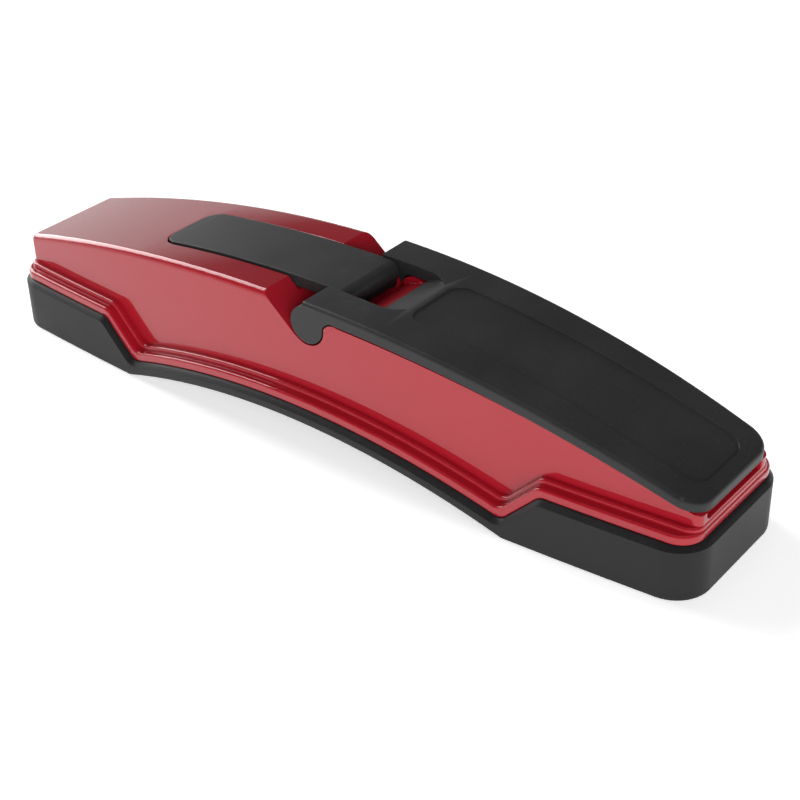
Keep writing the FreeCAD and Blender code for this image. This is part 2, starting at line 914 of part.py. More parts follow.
def make_lever():
    """Long black lever: bowed plate, two hinge ears, slot with a sloping floor and a top panel."""
    end = size("lever_end")
    mid_half_width = size("shell_mid_width") / 2
    end_half_width = size("lever_end_width") / 2
    plan = plan_prism(end, mid_half_width, end_half_width, size("lever_corner"), -5, 45)
    top = arc_block(size("lever_top_height"), size("lever_top_radius"), 0.01, end + 5)
    under = arc_block(size("lever_under_height"), size("lever_under_radius"), 0, end + 6)
    plate = top.cut(under)
    centre = bump_centre()
    left_top = VECTOR(size("hinge_along"), -WIDE, size("hinge_height"))
    neck = box(left_top, VECTOR(centre.x, WIDE, size("lever_under_height") + 0.05))
    neck = neck.cut(bump_cylinder(size("neck_radius"), -WIDE, WIDE))
    lobe = hinge_cylinder(size("lobe_radius"), -WIDE, WIDE)
    above_lobe = box(
        VECTOR(lever_start(), -WIDE, size("hinge_height")),
        VECTOR(size("hinge_along") + 0.01, WIDE, HIGH),
    )
    corner = above_lobe.common(arc_block(size("lever_top_height"), size("lever_top_radius"), -2, 2))
    profile = plate.fuse([neck, lobe, corner])
    lever = plan.common(profile).removeSplitter()
    rounds = [edge for edge in lever.Edges if is_lever_top_edge(edge)]
    lever = lever.makeFillet(size("lever_round"), rounds)
    lever = lever.cut(lever_slot())
    lever = lever.cut(lever_panel())
    lever = lever.cut(cheek_room())
    hole_end = size("pin_length") / 2 + size("rest_gap")
    lever = lever.cut(hinge_cylinder(bush_radius(), -hole_end, hole_end))
    lever = lever.fuse(lever_tongue())
    for place in file_screw_places():
        lever = lever.cut(small_screw_hole(place))
    return feature("file_lever", lever)


def is_lever_top_edge(edge):
    """True for the lever's outer top edges on its sides and right end."""
    middle = edge.valueAt((edge.FirstParameter + edge.LastParameter) / 2)
    line = arc_height(size("lever_top_height"), size("lever_top_radius"), middle.x)
    return abs(middle.z - line) < 0.02 and middle.x > size("hinge_along") + 1


def lever_slot():
    """Slot between the ears, with a floor that slopes up to the lever's top."""
    half_width = size("slot_width") / 2
    start = size("slot_floor_start")
    through = box(VECTOR(-10, -half_width, 10), VECTOR(start, half_width, 45))
    scoop = box(VECTOR(-10, -half_width, 10), VECTOR(size("slot_end"), half_width, 45))
    corners = [edge for edge in scoop.Edges if is_upright(edge) and edge.CenterOfMass.x > 0]
    scoop = scoop.makeFillet(size("slot_corner"), corners)
    low = VECTOR(start, 0, size("lever_under_height") + 0.2)
    high = size("lever_top_height") - 0.3
    tilt = math.degrees(math.atan2(high - low.z, size("slot_end") - start))
    floor = box(VECTOR(-60, -30, -60), VECTOR(60, 30, 0))
    floor.rotate(VECTOR(0, 0, 0), VECTOR(0, 1, 0), -tilt)
    floor.translate(low)
    return through.fuse(scoop.cut(floor))


def lever_panel():
    """Shallow bare panel in the lever's top."""
    half_width = size("panel_width") / 2
    depth = size("panel_depth")
    panel = box(
        VECTOR(size("panel_start"), -half_width, 5),
        VECTOR(size("panel_end"), half_width, 45),
    )
    corners = [edge for edge in panel.Edges if is_upright(edge)]
    panel = panel.makeFillet(size("panel_corner"), corners)
    top = size("lever_top_height") - depth
    return panel.cut(arc_block(top, size("lever_top_radius") - depth, 5, 90, -10))


def cheek_room():
    """Room inside each ear for the shell's cheek, open below and to the left."""
    radius = size("cheek_radius") + size("rest_gap")
    low = size("hinge_height") - size("lobe_radius") - 1
    left = size("hinge_along") - size("lobe_radius") - 1
    below = box(
        VECTOR(left, -ear_start(), low),
        VECTOR(bump_centre().x, ear_start(), size("hinge_height")),
    )
    beside = box(VECTOR(left, -ear_start(), low), VECTOR(lever_start(), ear_start(), 45))
    return hinge_cylinder(radius, -ear_start(), ear_start()).fuse([below, beside])


def lever_start():
    """X of the lever's left edge, above its ears."""
    return size("hinge_along") - size("lever_overhang")


def lever_tongue():
    """Tongue under the lever's right end that the catch grips."""
    along = size("catch_along")
    half = size("tongue_thickness") / 2
    under = arc_height(size("lever_under_height"), size("lever_under_radius"), along)
    half_width = size("catch_width") / 2
    return box(
        VECTOR(along - half, -half_width, under - size("tongue_depth")),
        VECTOR(along + half, half_width, under + 0.8),
    )


def backing_pad(label, place, length, width, under, radius, screws):
    """Pad that fills the bow between a bowed plate and the flat holder below it."""
    middle, tilt = place
    outline = tilted_box(middle, tilt, length, width, -3, size("pad_thickness"), 1.0)
    gap = 0.02
    bow = arc_block(under - gap, radius - gap, middle.x - length, middle.x + length, -10)
    pad = outline.common(bow)
    for screw in screws:
        pad = pad.cut(small_screw_hole(screw))
    return feature(label, pad)


def holder_plate(label, place, length, width, screws):
    """Flat holder plate under a backing pad."""
    middle, tilt = place
    top = size("pad_thickness")
    low = top + size("holder_thickness")
    holder = tilted_box(middle, tilt, length, width, top, low, 1.0)
    for screw in screws:
        holder = holder.cut(small_screw_hole(screw))
    return feature(label, holder)


def working_plate(label, place, holder_length, width, thickness):
    """File or stone, shorter than its holder so that the screws stay clear."""
    middle, tilt = place
    top = screw_grip()
    length = holder_length - 2 * screw_edge() - size("small_screw_head")
    return feature(label, tilted_box(middle, tilt, length, width, top, top + thickness, 0.4))


def make_file_pad():
    """Pad between the lever and the file holder."""
    return backing_pad(
        "file_backing_pad",
        file_chord(),
        size("file_length"),
        size("file_width"),
        size("lever_under_height"),
        size("lever_under_radius"),
        file_screw_places(),
    )


def make_file_holder():
    """Holder of the file."""
    return holder_plate(
        "file_holder",
        file_chord(),
        size("file_length"),
        size("file_width"),
        file_screw_places(),
    )


def make_file():
    """File plate under its holder."""
    return working_plate(
        "edge_file",
        file_chord(),
        size("file_length"),
        size("file_width"),
        size("file_thickness"),
    )


def screw_grip():
    """Depth of what each small screw passes through before it bites."""
    return size("pad_thickness") + size("holder_thickness")


def screw_edge():
    """Distance of each small screw from its holder's end."""
    return size("small_screw_head") / 2 + 0.5


def chord_point(middle, tilt, along, depth):
    """A point below a chord, measured along it and square to it."""
    angle = math.radians(tilt)
    return VECTOR(
        middle.x + along * math.cos(angle) - depth * math.sin(angle),
        0,
        middle.z - along * math.sin(angle) - depth * math.cos(angle),
    )


def file_screw_places():
    """Seat and direction of the two screws at the ends of the file holder."""
    middle, tilt = file_chord()
    reach = size("file_length") / 2 - screw_edge()
    return [(chord_point(middle, tilt, sign * reach, screw_grip()), tilt) for sign in (-1, 1)]


def stone_screw_places():
    """Seat and direction of the two screws at the ends of the stone holder."""
    middle, tilt = stone_chord()
    reach = size("stone_length") / 2 - screw_edge()
    return [(chord_point(middle, tilt, sign * reach, screw_grip()), tilt) for sign in (-1, 1)]


def screw_direction(tilt):
    """Unit vector up along a small screw."""
    angle = math.radians(tilt)
    return VECTOR(math.sin(angle), 0, math.cos(angle))


def small_screw_hole(place):
    """Hole for one small screw, from its seat upward and a little deeper than its end."""
    seat, tilt = place
    reach = screw_grip() + size("small_screw_bite") + 0.2
    return Part.makeCylinder(size("small_screw_diameter") / 2, reach, seat, screw_direction(tilt))


def small_screw(place):
    """One small screw: a low head below its seat and a shank above it."""
    seat, tilt = place
    up = screw_direction(tilt)
    head_height = size("small_screw_head") / 4
    head = Part.makeCylinder(size("small_screw_head") / 2, head_height, seat - up * head_height, up)
    length = screw_grip() + size("small_screw_bite")
    shank = Part.makeCylinder(size("small_screw_diameter") / 2, length, seat, up)
    return head.fuse(shank)


def make_file_screws():
    """Two screws that hold the file holder to the lever."""
    screws = [small_screw(place) for place in file_screw_places()]
    return feature("file_screws", Part.makeCompound(screws))


# ---------------------------------------------------------------- short arm and its stone


def make_arm():
    """Short black arm: a bowed strap with rounded corners and a hinge barrel."""
    half_width = barrel_half_width()
    proud = size("arm_proud")
    top = size("deck_height") + proud
    radius = size("deck_radius") + proud
    thickness = size("arm_thickness")
    reach = arm_reach()
    end = nose_centre().x
    strap = arc_block(top, radius, -reach, end, -5, half_width)
    under = arc_block(top - thickness, radius - thickness, -reach - 1, end + 1, -6, 30)
    strap = strap.cut(under)
    corners = [edge for edge in strap.Edges if is_arm_corner(edge)]
    strap = strap.makeFillet(size("arm_corner"), corners)
    arm = strap.fuse(arm_knuckle(half_width)).removeSplitter()
    arm = arm.cut(hinge_cylinder(bush_radius(), -20, 20))
    for place in stone_screw_places():
        arm = arm.cut(small_screw_hole(place))
    return feature("stone_arm", arm)


def arm_knuckle(half_width):
    """The arm's hinge end: a knuckle round the pin, a nose above it and the web between."""
    knuckle = hinge_cylinder(size("knuckle_radius"), -half_width, half_width)
    centre = nose_centre()
    start = VECTOR(centre.x, -half_width, centre.z)
    nose = Part.makeCylinder(size("nose_radius"), 2 * half_width, start, VECTOR(0, 1, 0))
    axis = VECTOR(size("hinge_along"), 0, size("hinge_height"))
    along = (centre - axis).normalize()
    side = VECTOR(along.z, 0, -along.x)
    corners = [
        centre + side * size("nose_radius"),
        axis + side * size("knuckle_radius"),
        axis - side * size("knuckle_radius"),
        centre - side * size("nose_radius"),
    ]
    outline = Part.makePolygon([corner - VECTOR(0, half_width, 0) for corner in corners + corners[:1]])
    web = Part.Face(outline).extrude(VECTOR(0, 2 * half_width, 0))
    return nose.fuse([knuckle, web])


def is_arm_corner(edge):
    """True for the upright edges at the arm's left end."""
    return is_upright(edge) and edge.CenterOfMass.x < -arm_reach() + 0.5


def make_stone_pad():
    """Pad between the arm and the stone holder."""
    return backing_pad(
        "stone_backing_pad",
        stone_chord(),
        size("stone_length"),
        size("stone_width"),
        size("deck_height") + size("arm_proud") - size("arm_thickness"),
        size("deck_radius") + size("arm_proud") - size("arm_thickness"),
        stone_screw_places(),
    )


def make_stone_holder():
    """Holder of the deburring stone."""
    return holder_plate(
        "stone_holder",
        stone_chord(),
        size("stone_length"),
        size("stone_width"),
        stone_screw_places(),
    )


def make_stone():
    """Deburring stone under its holder."""
    return working_plate(
        "deburring_stone",
        stone_chord(),
        size("stone_length"),
        size("stone_width"),
        size("stone_thickness"),
    )


def make_stone_screws():
    """Two screws that hold the stone holder to the arm."""
    screws = [small_screw(place) for place in stone_screw_places()]
    return feature("stone_screws", Part.makeCompound(screws))


# ---------------------------------------------------------------- catch


def make_catch():
    """Sheet-metal catch: a U that stands in its slot and grips the lever's tongue."""
    along = size("catch_along")
    sheet = size("catch_sheet")
    half_length = size("tongue_thickness") / 2 + catch_side_gap() + sheet
    half_width = size("catch_width") / 2
    low = catch_floor()
    high = low + size("tongue_depth") - size("rest_gap")
    outside = box(
        VECTOR(along - half_length, -half_width, low),
        VECTOR(along + half_length, half_width, high),
    )
    inside = box(
        VECTOR(along - half_length + sheet, -half_width - 1, low + sheet),
        VECTOR(along + half_length - sheet, half_width + 1, high + 1),
    )
    return feature("lever_catch", outside.cut(inside))


# ---------------------------------------------------------------- whole tool


def check_and_write(nodes):
    """Refuse a failed object or shape, then write one STEP file per sub-part."""
    DOC.recompute()
    for item in DOC.Objects:
        if "Invalid" in item.State or "Error" in item.State:
            raise RuntimeError(f"{item.Label} failed: {item.State}")
    os.makedirs("parts", exist_ok=True)
    for node in nodes:
        shape = node.Shape
        if shape.isNull() or not shape.isValid():
            raise RuntimeError(f"{node.Label} has no valid shape")
        shape.exportStep(os.path.join("parts", node.Label + ".step"))
        print(node.Label, len(shape.Solids), round(shape.Volume, 1))


def main():
    """Build every sub-part and write it out."""
    fill_sheet()
    nodes = [
        make_shell(),
        make_boot(),
        make_frame(),
        make_frame_screws(),
        make_inserts(),
        make_pin(),
        make_friction_washers(),
        make_catch(),
        make_lever(),
        make_lever_bushes(),
        make_file_pad(),
        make_file_holder(),
        make_file(),
        make_file_screws(),
        make_arm(),
        make_arm_bush(),
        make_stone_pad(),
        make_stone_holder(),
        make_stone(),
        make_stone_screws(),
    ]
    check_and_write(nodes)


main()
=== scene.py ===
"""Looks of the edge tuning tool: moulded edges, file teeth, screw drives, finishes and studio stage."""

import itertools
import math

import bpy
from bpy.props import FloatProperty, FloatVectorProperty, PointerProperty
from bpy.types import Operator, Panel, PropertyGroup
from mathutils import Matrix, Vector


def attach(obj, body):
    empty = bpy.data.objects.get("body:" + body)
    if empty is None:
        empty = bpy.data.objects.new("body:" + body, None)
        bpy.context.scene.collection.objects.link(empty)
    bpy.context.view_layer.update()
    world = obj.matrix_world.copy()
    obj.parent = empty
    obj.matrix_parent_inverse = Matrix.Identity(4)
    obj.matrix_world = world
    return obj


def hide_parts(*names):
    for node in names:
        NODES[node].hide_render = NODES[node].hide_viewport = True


bl_info = {
    "name": "Edge tuning tool looks",
    "version": (1, 0, 0),
    "blender": (4, 5, 0),
    "location": "View3D > Sidebar > Tuning Tool",
    "description": "Moulded edges, finishes and stage of a folding edge tuning tool",
    "category": "Object",
}

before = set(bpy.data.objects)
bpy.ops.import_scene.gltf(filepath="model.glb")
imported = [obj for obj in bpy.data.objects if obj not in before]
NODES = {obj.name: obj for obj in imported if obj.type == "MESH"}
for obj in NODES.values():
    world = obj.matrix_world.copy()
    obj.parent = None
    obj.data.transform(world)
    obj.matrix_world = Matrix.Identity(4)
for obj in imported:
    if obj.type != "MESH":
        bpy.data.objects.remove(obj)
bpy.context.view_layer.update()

MERGE_DISTANCE = 0.000002
SHARP_ANGLE = math.radians(30)
ROUND_SHARE = 0.45
LOW_SHARE = 0.05
TOOTH_SLANT = math.radians(25)
TOOTH_ROOT = 0.00012
TOOTH_EDGE = 0.0006
TOOTH_SPREAD = 0.56
TOOTH_OVERRUN = 1.6
DRIVE_LENGTH = 1.3
DRIVE_WIDTH = 0.28
SMALL_DRIVE = 0.6
FACE_BAND = 0.00004
HEAD_BAND = 0.00002
FLOOR_GAP = 0.0001


# ---------------------------------------------------------------- settings


def colour_property(name, description, default):
    """A colour that a user may change."""
    return FloatVectorProperty(
        name=name,
        description=description,
        default=default,
        subtype="COLOR",
        size=3,
        min=0.0,
        max=1.0,
    )


def length_property(name, description, default):
    """A length that a user may change."""
    return FloatProperty(
        name=name,
        description=description,
        default=default,
        min=0.0,
        subtype="DISTANCE",
        unit="LENGTH",
    )


def share_property(name, description, default):
    """A share from 0 to 1 that a user may change."""
    return FloatProperty(
        name=name,
        description=description,
        default=default,
        min=0.0,
        max=1.0,
        subtype="FACTOR",
    )


class TunerFinish(PropertyGroup):
    """Colours of the finishes, and rubbed black edges that also carry painted edge highlights."""

    red: colour_property("Red", "Lacquer of the shell", (0.29, 0.006, 0.014))
    flake: colour_property("Flake", "Flakes in the lacquer", (0.36, 0.012, 0.024))
    rubber: colour_property("Rubber", "Rubber of the boot", (0.0065, 0.0065, 0.007))
    black: colour_property("Black", "Moulded plastic of lever and arm", (0.0155, 0.0155, 0.016))
    steel: colour_property("Steel", "Bare steel of screws, pin and catch", (0.52, 0.52, 0.54))
    brass: colour_property("Brass", "Threaded inserts", (0.66, 0.45, 0.16))
    bronze: colour_property("Bronze", "Hinge bushes", (0.50, 0.30, 0.13))
    nylon: colour_property("Nylon", "Friction washers", (0.012, 0.012, 0.013))
    aluminium: colour_property("Aluminium", "Holders of file and stone", (0.60, 0.60, 0.62))
    stone: colour_property("Stone", "Deburring stone", (0.20, 0.15, 0.13))
    # How much the black edges are lightened: partly rubbed wear, partly painted edge highlight.
    rub_and_highlight: share_property("Rub And Edge Highlight", "How much the black edges are rubbed", 0.25)
    dust: share_property("Dust", "How much dust lies on faces that look up", 0.03)


class TunerDetail(PropertyGroup):
    """Sizes of the modelled details."""

    shell_round: length_property("Shell round", "Radius on the shell's edges", 0.0003)
    boot_round: length_property("Boot round", "Radius on the boot's edges", 0.0005)
    lever_round: length_property("Lever round", "Radius on the lever's edges", 0.0004)
    arm_round: length_property("Arm round", "Radius on the arm's edges", 0.00035)
    tooth_pitch: length_property("Tooth pitch", "Distance from one file tooth to the next", 0.0009)
    tooth_height: length_property("Tooth height", "Height of each file tooth", 0.0002)
    drive_depth: share_property("Drive depth", "Depth of the screws' cross against the head's radius", 0.4)


class TunerStage(PropertyGroup):
    """Light and floor."""

    key_power: FloatProperty(
        name="Key power", description="Power of the overhead light", default=2.6, min=0.0, subtype="POWER"
    )
    left_power: FloatProperty(
        name="Left power", description="Power of the left light", default=19.0, min=0.0, subtype="POWER"
    )
    front_power: FloatProperty(
        name="Front power", description="Power of the front light", default=37.0, min=0.0, subtype="POWER"
    )
    horizon: FloatProperty(
        name="Horizon", description="Brightness of the surround near the horizon", default=0.78, min=0.0
    )
    zenith: FloatProperty(
        name="Zenith", description="Brightness of the surround overhead", default=0.035, min=0.0
    )
    floor: colour_property("Floor", "Colour of the floor", (0.92, 0.92, 0.92))
    floor_glow: share_property("Floor glow", "Light that the floor itself gives", 0.45)


# ---------------------------------------------------------------- mesh helpers


def deselect_all():
    """Leave edit mode and deselect every object."""
    if bpy.context.object and bpy.context.object.mode != "OBJECT":
        bpy.ops.object.mode_set(mode="OBJECT")
    bpy.ops.object.select_all(action="DESELECT")


def make_active(piece):
    """Select one piece alone and make it active."""
    deselect_all()
    piece.select_set(True)
    bpy.context.view_layer.objects.active = piece


def merged_copy(node, name):
    """A copy of a CAD node with its loose triangles merged into closed shells."""
    source = NODES[node]
    piece = source.copy()
    piece.data = source.data.copy()
    piece.name = name
    piece.data.name = name
    for key in list(piece.keys()):
        del piece[key]
    bpy.context.scene.collection.objects.link(piece)
    make_active(piece)
    bpy.ops.object.mode_set(mode="EDIT")
    bpy.ops.mesh.select_all(action="SELECT")
    bpy.ops.mesh.remove_doubles(threshold=MERGE_DISTANCE)
    bpy.ops.object.mode_set(mode="OBJECT")
    bpy.ops.mesh.customdata_custom_splitnormals_clear()
    return piece


def apply_modifier(piece, kind, **settings):
    """Add one modifier with its settings and apply it."""
    make_active(piece)
    modifier = piece.modifiers.new(kind.lower(), kind)
    for key, value in settings.items():
        setattr(modifier, key, value)
    bpy.ops.object.modifier_apply(modifier=modifier.name)


def reach_from(mesh, edge, face):
    """How far a face reaches from one of its edges."""
    start, end = (mesh.vertices[index].co for index in edge.vertices)
    line = (end - start).normalized()
    spans = [mesh.vertices[index].co - start for index in face.vertices]
    return max((span - line * span.dot(line)).length for span in spans)


def run_on(mesh, corner, first, second):
    """Whether two edges that meet at a corner go on in nearly one line."""
    start = mesh.vertices[corner].co
    ways = []
    for edge in (first, second):
        far = edge.vertices[1] if edge.vertices[0] == corner else edge.vertices[0]
        ways.append(mesh.vertices[far].co - start)
    return ways[0].angle(-ways[1], 0.0) < SHARP_ANGLE


def smooth_runs(mesh, sharp):
    """Sharp edges in groups that go on smoothly from one edge to the next."""
    meeting = {}
    for edge in sharp:
        for corner in edge.vertices:
            meeting.setdefault(corner, []).append(edge)
    group = {edge.index: [edge] for edge in sharp}
    for corner, edges in meeting.items():
        for first, second in itertools.combinations(edges, 2):
            one, other = group[first.index], group[second.index]
            if one is not other and (len(edges) == 2 or run_on(mesh, corner, first, second)):
                one.extend(other)
                group.update((edge.index, one) for edge in other)
    return {id(edges): edges for edges in group.values()}.values()


def mark_sharp_edges(mesh, width):
    """Weigh the sharp edges for rounding, less where a run of them is beside a narrow face."""
    beside = {edge.key: [] for edge in mesh.edges}
    for face in mesh.polygons:
        for key in face.edge_keys:
            beside[key].append(face)
    faces = {edge.index: beside[edge.key] for edge in mesh.edges}
    sharp = []
    for edge in mesh.edges:
        first, second = faces[edge.index]
        if first.normal.angle(second.normal, 0.0) > SHARP_ANGLE:
            sharp.append(edge)
    weights = mesh.attributes.new("bevel_weight_edge", "FLOAT", "EDGE")
    for run in smooth_runs(mesh, sharp):
        rooms = sorted(min(reach_from(mesh, edge, face) for face in faces[edge.index]) for edge in run)
        room = rooms[int(len(rooms) * LOW_SHARE)]
        for edge in run:
            weights.data[edge.index].value = min(1.0, ROUND_SHARE * room / width)


def round_edges(piece, source, width):
    """Round every sharp edge of a piece, nowhere outside the shape it came from."""
    mark_sharp_edges(piece.data, width)
    apply_modifier(
        piece,
        "BEVEL",
        width=width,
        segments=3,
        limit_method="WEIGHT",
        loop_slide=False,
        use_clamp_overlap=False,
        miter_outer="MITER_ARC",
    )
    apply_modifier(piece, "SHRINKWRAP", target=source, wrap_mode="INSIDE")


def smooth_shading(piece):
    """Smooth shading with face-weighted normals, so that flat faces stay flat."""
    make_active(piece)
    bpy.ops.object.shade_smooth_by_angle(angle=SHARP_ANGLE)
    apply_modifier(piece, "WEIGHTED_NORMAL", weight=50, keep_sharp=True)


def stand_for(piece, node, body, material):
    """Finish a piece that is shown in place of a CAD node."""
    piece.data.materials.clear()
    piece.data.materials.append(material)
    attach(piece, body)
    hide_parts(node)


def repaint(node, material):
    """Give a shown CAD node its finish."""
    data = NODES[node].data
    if not data.materials:
        data.materials.append(material)
        return
    for index in range(len(data.materials)):
        data.materials[index] = material


# ---------------------------------------------------------------- node helpers


def rgba(colour):
    """A colour with full alpha."""
    return (colour[0], colour[1], colour[2], 1.0)


class Tree:
    """A node tree that nodes are added to and linked in."""

    def __init__(self, tree):
        self.tree = tree

    def add(self, kind, **settings):
        """A new node with some of its own settings."""
        node = self.tree.nodes.new(kind)
        for key, value in settings.items():
            setattr(node, key, value)
        return node

    def link(self, output, target):
        """Link one socket to another."""
        self.tree.links.new(output, target)

    def math(self, operation, first, second=None, clamp=False):
        """A math node; each value is a socket or a number."""
        node = self.add("ShaderNodeMath", operation=operation, use_clamp=clamp)
        for index, value in enumerate((first, second)):
            if value is None:
                continue
            if isinstance(value, (int, float)):
                node.inputs[index].default_value = value
            else:
                self.link(value, node.inputs[index])
        return node.outputs[0]

    def remap(self, value, low, high, to_low, to_high):
        """A value moved from one range to another and kept inside it."""
        node = self.add("ShaderNodeMapRange")
        self.link(value, node.inputs["Value"])
        node.inputs["From Min"].default_value = low
        node.inputs["From Max"].default_value = high
        node.inputs["To Min"].default_value = to_low
        node.inputs["To Max"].default_value = to_high
        return node.outputs["Result"]

    def noise(self, vector, scale, detail=2.0):
        """Noise on a vector; its scale is a socket or a number."""
        node = self.add("ShaderNodeTexNoise")
        self.link(vector, node.inputs["Vector"])
        node.inputs["Detail"].default_value = detail
        if isinstance(scale, (int, float)):
            node.inputs["Scale"].default_value = scale
        else:
            self.link(scale, node.inputs["Scale"])
        return node.outputs["Fac"]

    def mix(self, factor, first, second):
        """A colour between two; each is a socket or a colour."""
        node = self.add("ShaderNodeMix", data_type="RGBA")
        colours = [socket for socket in node.inputs if socket.type == "RGBA"]
        self.link(factor, node.inputs["Factor"])
        for target, value in zip(colours, (first, second)):
            if isinstance(value, bpy.types.NodeSocket):
                self.link(value, target)
            else:
                target.default_value = rgba(value)
        return next(socket for socket in node.outputs if socket.type == "RGBA")

    def place(self):
        """Object coordinates."""
        return self.add("ShaderNodeTexCoord").outputs["Object"]

    def bump(self, height, distance, strength=1.0):
        """A bump from a height between 0 and 1."""
        node = self.add("ShaderNodeBump")
        node.inputs["Strength"].default_value = strength
        node.inputs["Distance"].default_value = distance
        self.link(height, node.inputs["Height"])
        return node.outputs["Normal"]

    def use(self, group, **values):
        """A placed node group with its own values."""
        node = self.add("ShaderNodeGroup")
        node.node_tree = group
        for key, value in values.items():
            node.inputs[key].default_value = value
        return node.outputs


def new_group(name, inputs, outputs):
    """An empty shader node group with named sockets; gives its tree, inputs and output node."""
    group = bpy.data.node_groups.new(name, "ShaderNodeTree")
    for label, kind, default in inputs:
        socket = group.interface.new_socket(name=label, in_out="INPUT", socket_type=kind)
        socket.default_value = default
    for label, kind in outputs:
        group.interface.new_socket(name=label, in_out="OUTPUT", socket_type=kind)
    tree = Tree(group)
    return group, tree, tree.add("NodeGroupInput").outputs, tree.add("NodeGroupOutput").inputs


def grain_group():
    """Fine moulded grain: a height and a patchy value for roughness."""
    group, tree, given, result = new_group(
        "Fine Grain",
        [("Scale", "NodeSocketFloat", 2500.0), ("Patch Scale", "NodeSocketFloat", 60.0)],
        [("Height", "NodeSocketFloat"), ("Patch", "NodeSocketFloat")],
    )
    place = tree.place()
    cell = tree.add("ShaderNodeTexVoronoi", feature="SMOOTH_F1")
    tree.link(place, cell.inputs["Vector"])
    tree.link(given["Scale"], cell.inputs["Scale"])
    fine = tree.noise(place, given["Scale"], 3.0)
    height = tree.math("MULTIPLY", cell.outputs["Distance"], 0.6)
    tree.link(tree.math("ADD", height, tree.math("MULTIPLY", fine, 0.4)), result["Height"])
    tree.link(tree.noise(place, given["Patch Scale"], 4.0), result["Patch"])
    return group


def rub_and_highlight_group():
    """Rubbed edges and painted edge highlights: a mask that is high where the surface stands out."""
    group, tree, given, result = new_group(
        "Edge Rub And Highlight",
        [("Amount", "NodeSocketFloat", 0.3), ("Scale", "NodeSocketFloat", 300.0)],
        [("Mask", "NodeSocketFloat")],
    )
    # The mask lightens convex edges: partly rubbed wear, partly painted edge highlight.
    geometry = tree.add("ShaderNodeNewGeometry")
    turned = tree.remap(geometry.outputs["Pointiness"], 0.53, 0.62, 0.0, 1.0)
    patch = tree.noise(tree.place(), given["Scale"], 4.0)
    broken = tree.remap(patch, 0.42, 0.62, 0.15, 1.0)
    mask = tree.math("MULTIPLY", turned, broken)
    tree.link(tree.math("MULTIPLY", mask, given["Amount"], clamp=True), result["Mask"])
    return group


def dust_group():
    """Thin dust: a mask on faces that look upward."""
    group, tree, given, result = new_group(
        "Dust Film",
        [("Amount", "NodeSocketFloat", 0.1)],
        [("Mask", "NodeSocketFloat")],
    )
    geometry = tree.add("ShaderNodeNewGeometry")
    split = tree.add("ShaderNodeSeparateXYZ")
    tree.link(geometry.outputs["Normal"], split.inputs[0])
    upward = tree.remap(split.outputs["Z"], 0.2, 1.0, 0.0, 1.0)
    place = tree.place()
    broad = tree.remap(tree.noise(place, 90.0, 5.0), 0.35, 0.75, 0.2, 1.0)
    speck = tree.remap(tree.noise(place, 1800.0, 2.0), 0.60, 0.72, 0.0, 1.0)
    film = tree.math("ADD", tree.math("MULTIPLY", broad, 0.3), speck)
    mask = tree.math("MULTIPLY", upward, film)
    tree.link(tree.math("MULTIPLY", mask, given["Amount"], clamp=True), result["Mask"])
    return group


def flake_group():
    """Metal flakes in lacquer: a value for each flake and a slow drift of tone."""
    group, tree, given, result = new_group(
        "Metal Flake",
        [("Scale", "NodeSocketFloat", 9000.0)],
        [("Flake", "NodeSocketFloat"), ("Drift", "NodeSocketFloat")],
    )
    place = tree.place()
    cell = tree.add("ShaderNodeTexVoronoi")
    tree.link(place, cell.inputs["Vector"])
    tree.link(given["Scale"], cell.inputs["Scale"])
    split = tree.add("ShaderNodeSeparateColor")
    tree.link(cell.outputs["Color"], split.inputs[0])
    tree.link(split.outputs[0], result["Flake"])
    tree.link(tree.noise(place, 40.0, 3.0), result["Drift"])
    return group


def brushed_group():
    """Lines left by brushing or grinding along X: a height and a tone."""
    group, tree, given, result = new_group(
        "Brushed Lines",
        [("Scale", "NodeSocketFloat", 4000.0)],
        [("Height", "NodeSocketFloat"), ("Tone", "NodeSocketFloat")],
    )
    stretch = tree.add("ShaderNodeMapping")
    stretch.inputs["Scale"].default_value = (0.04, 1.0, 1.0)
    tree.link(tree.place(), stretch.inputs["Vector"])
    lines = tree.noise(stretch.outputs["Vector"], given["Scale"], 3.0)
    tree.link(lines, result["Height"])
    tree.link(tree.noise(tree.place(), 250.0, 4.0), result["Tone"])
    return group


GROUPS = {}


def group_of(name):
    """A shared node group, built the first time it is asked for."""
    makers = {
        "grain": grain_group,
        "rub_and_highlight": rub_and_highlight_group,
        "dust": dust_group,
        "flake": flake_group,
        "brushed": brushed_group,
    }
    if name not in GROUPS:
        GROUPS[name] = makers[name]()
    return GROUPS[name]


def new_material(name):
    """A material with a bare Principled shader; gives it, its tree and the shader's inputs."""
    material = bpy.data.materials.new(name)
    material.use_nodes = True
    material.node_tree.nodes.clear()
    tree = Tree(material.node_tree)
    shader = tree.add("ShaderNodeBsdfPrincipled")
    output = tree.add("ShaderNodeOutputMaterial")
    tree.link(shader.outputs["BSDF"], output.inputs["Surface"])
    return material, tree, shader.inputs


# ---------------------------------------------------------------- finishes


def red_lacquer(finish):
    """Metallic red under clear lacquer."""
    material, tree, shader = new_material("red_lacquer")
    flake = tree.use(group_of("flake"), Scale=7000.0)
    glint = tree.remap(flake["Flake"], 0.55, 1.0, 0.0, 0.35)
    base = tree.mix(glint, finish.red, finish.flake)
    drift = tree.remap(flake["Drift"], 0.3, 0.7, 0.0, 0.10)
    base = tree.mix(drift, base, (0.20, 0.004, 0.008))
    tree.link(base, shader["Base Color"])
    tree.link(tree.remap(flake["Flake"], 0.0, 1.0, 0.30, 0.38), shader["Roughness"])
    tree.link(tree.remap(flake["Flake"], 0.0, 1.0, 0.02, 0.08), shader["Metallic"])
    shader["Specular IOR Level"].default_value = 0.1
    shader["Coat Weight"].default_value = 1.0
    shader["Coat Roughness"].default_value = 0.04
    shader["Coat IOR"].default_value = 1.5
    return material


